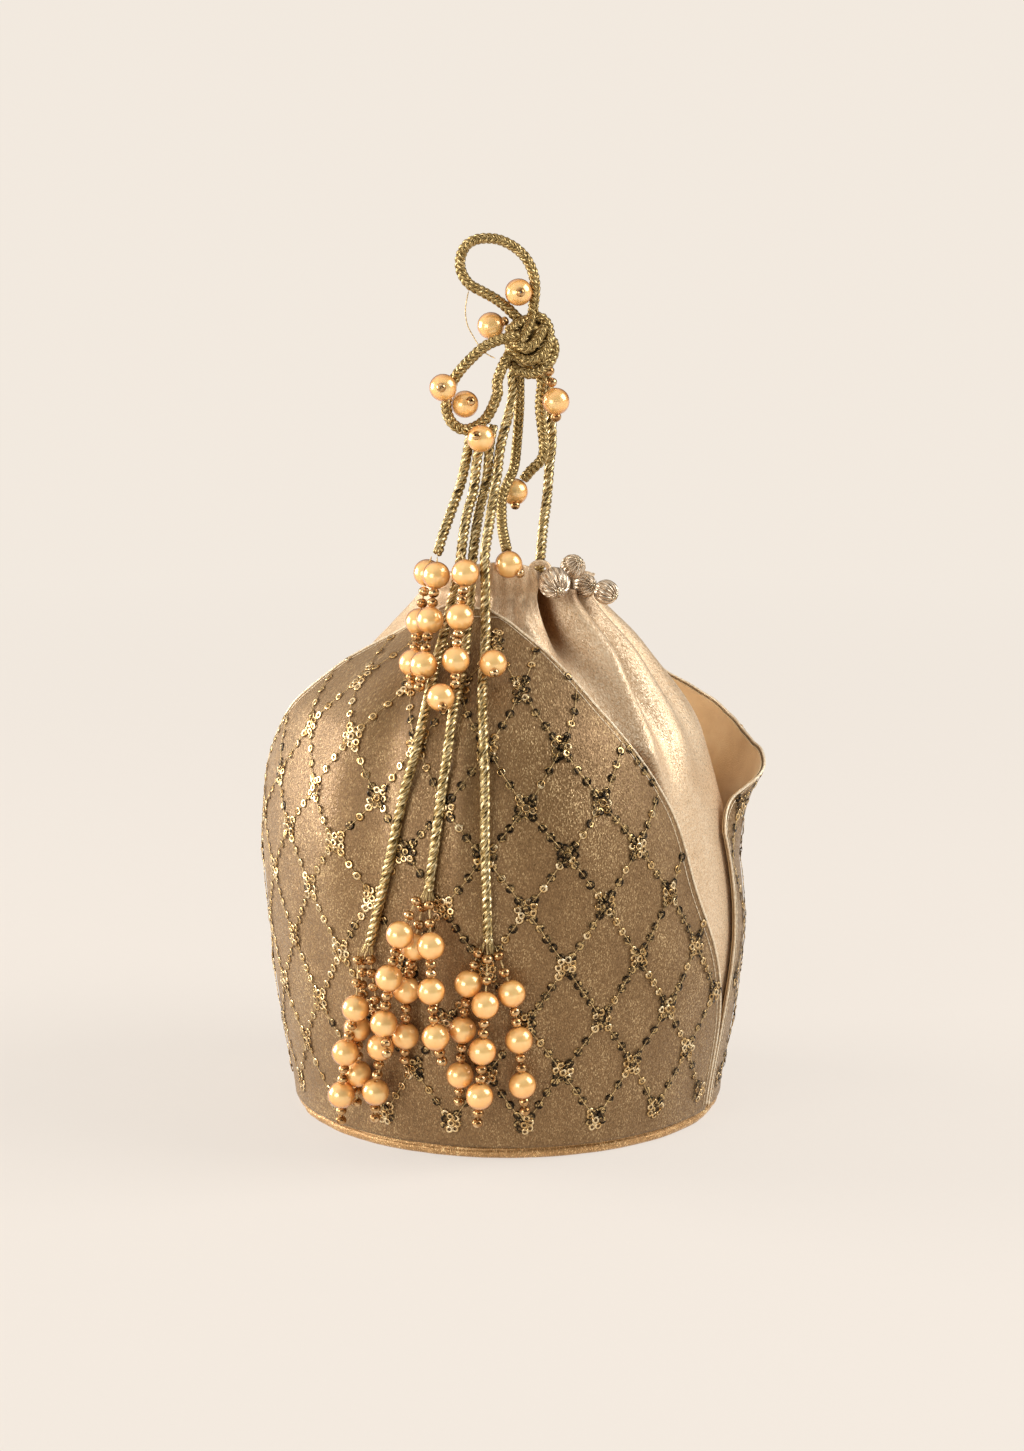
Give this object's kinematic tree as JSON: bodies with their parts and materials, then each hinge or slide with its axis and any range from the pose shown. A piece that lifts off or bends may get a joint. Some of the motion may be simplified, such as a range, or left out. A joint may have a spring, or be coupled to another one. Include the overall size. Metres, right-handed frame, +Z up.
{
  "type": "potli bag",
  "caption": "Gathered round drawstring pouch in gold cloth, wrapped by two sequin-lattice petals, with knotted cords that end in pearl tassels.",
  "frame": {"origin": "centre of the base panel's underside, on the surface that the bag stands on", "axes": "+Z up through the mouth, -Y out of the front petal's side, +X to the right when seen from the front"},
  "size_m": [0.186, 0.1996, 0.325],
  "materials": {
    "satin": "gold satin with a soft sheen",
    "tissue": "glittering gold tissue with a sequin lattice",
    "lining": "plain matt weave",
    "board": "plain",
    "cord": "metallic thread braid",
    "pearl": "pearl lustre"
  },
  "bodies": {
    "root": {"base_panel": "satin", "base_board": "board", "pouch_shell": "satin", "pouch_lining": "lining", "front_petal": "tissue", "front_petal_lining": "lining", "back_petal": "tissue", "back_petal_lining": "lining", "mouth_ball_front": "satin", "mouth_ball_side": "satin", "mouth_ball_top": "satin", "mouth_ball_back": "satin", "cord_knot": "cord", "handle_loop": "cord", "bow_loop": "cord", "tassel_cord_right": "cord", "tassel_cord_middle": "cord", "tassel_cord_left": "cord", "short_tassel_cord": "cord", "pearl_cord": "cord", "branch_cord": "cord", "draw_cord": "cord", "right_tassel_strand_a": "pearl", "right_tassel_strand_b": "pearl", "right_tassel_strand_c": "pearl", "middle_tassel_strand_a": "pearl", "middle_tassel_strand_b": "pearl", "middle_tassel_strand_c": "pearl", "left_tassel_strand_a": "pearl", "left_tassel_strand_b": "pearl", "left_tassel_strand_c": "pearl", "upper_tassel_strand_a": "pearl", "upper_tassel_strand_b": "pearl", "upper_tassel_strand_c": "pearl", "knot_drop": "pearl", "low_pearl_left": "pearl", "low_pearl_right": "pearl", "cord_end_pearl": "pearl", "branch_end_pearl": "pearl", "loop_pearl": "pearl", "knot_pearl": "pearl", "bow_pearl_left": "pearl", "bow_pearl_inner": "pearl", "bow_pearl_low": "pearl"}
  },
  "joints": []
}
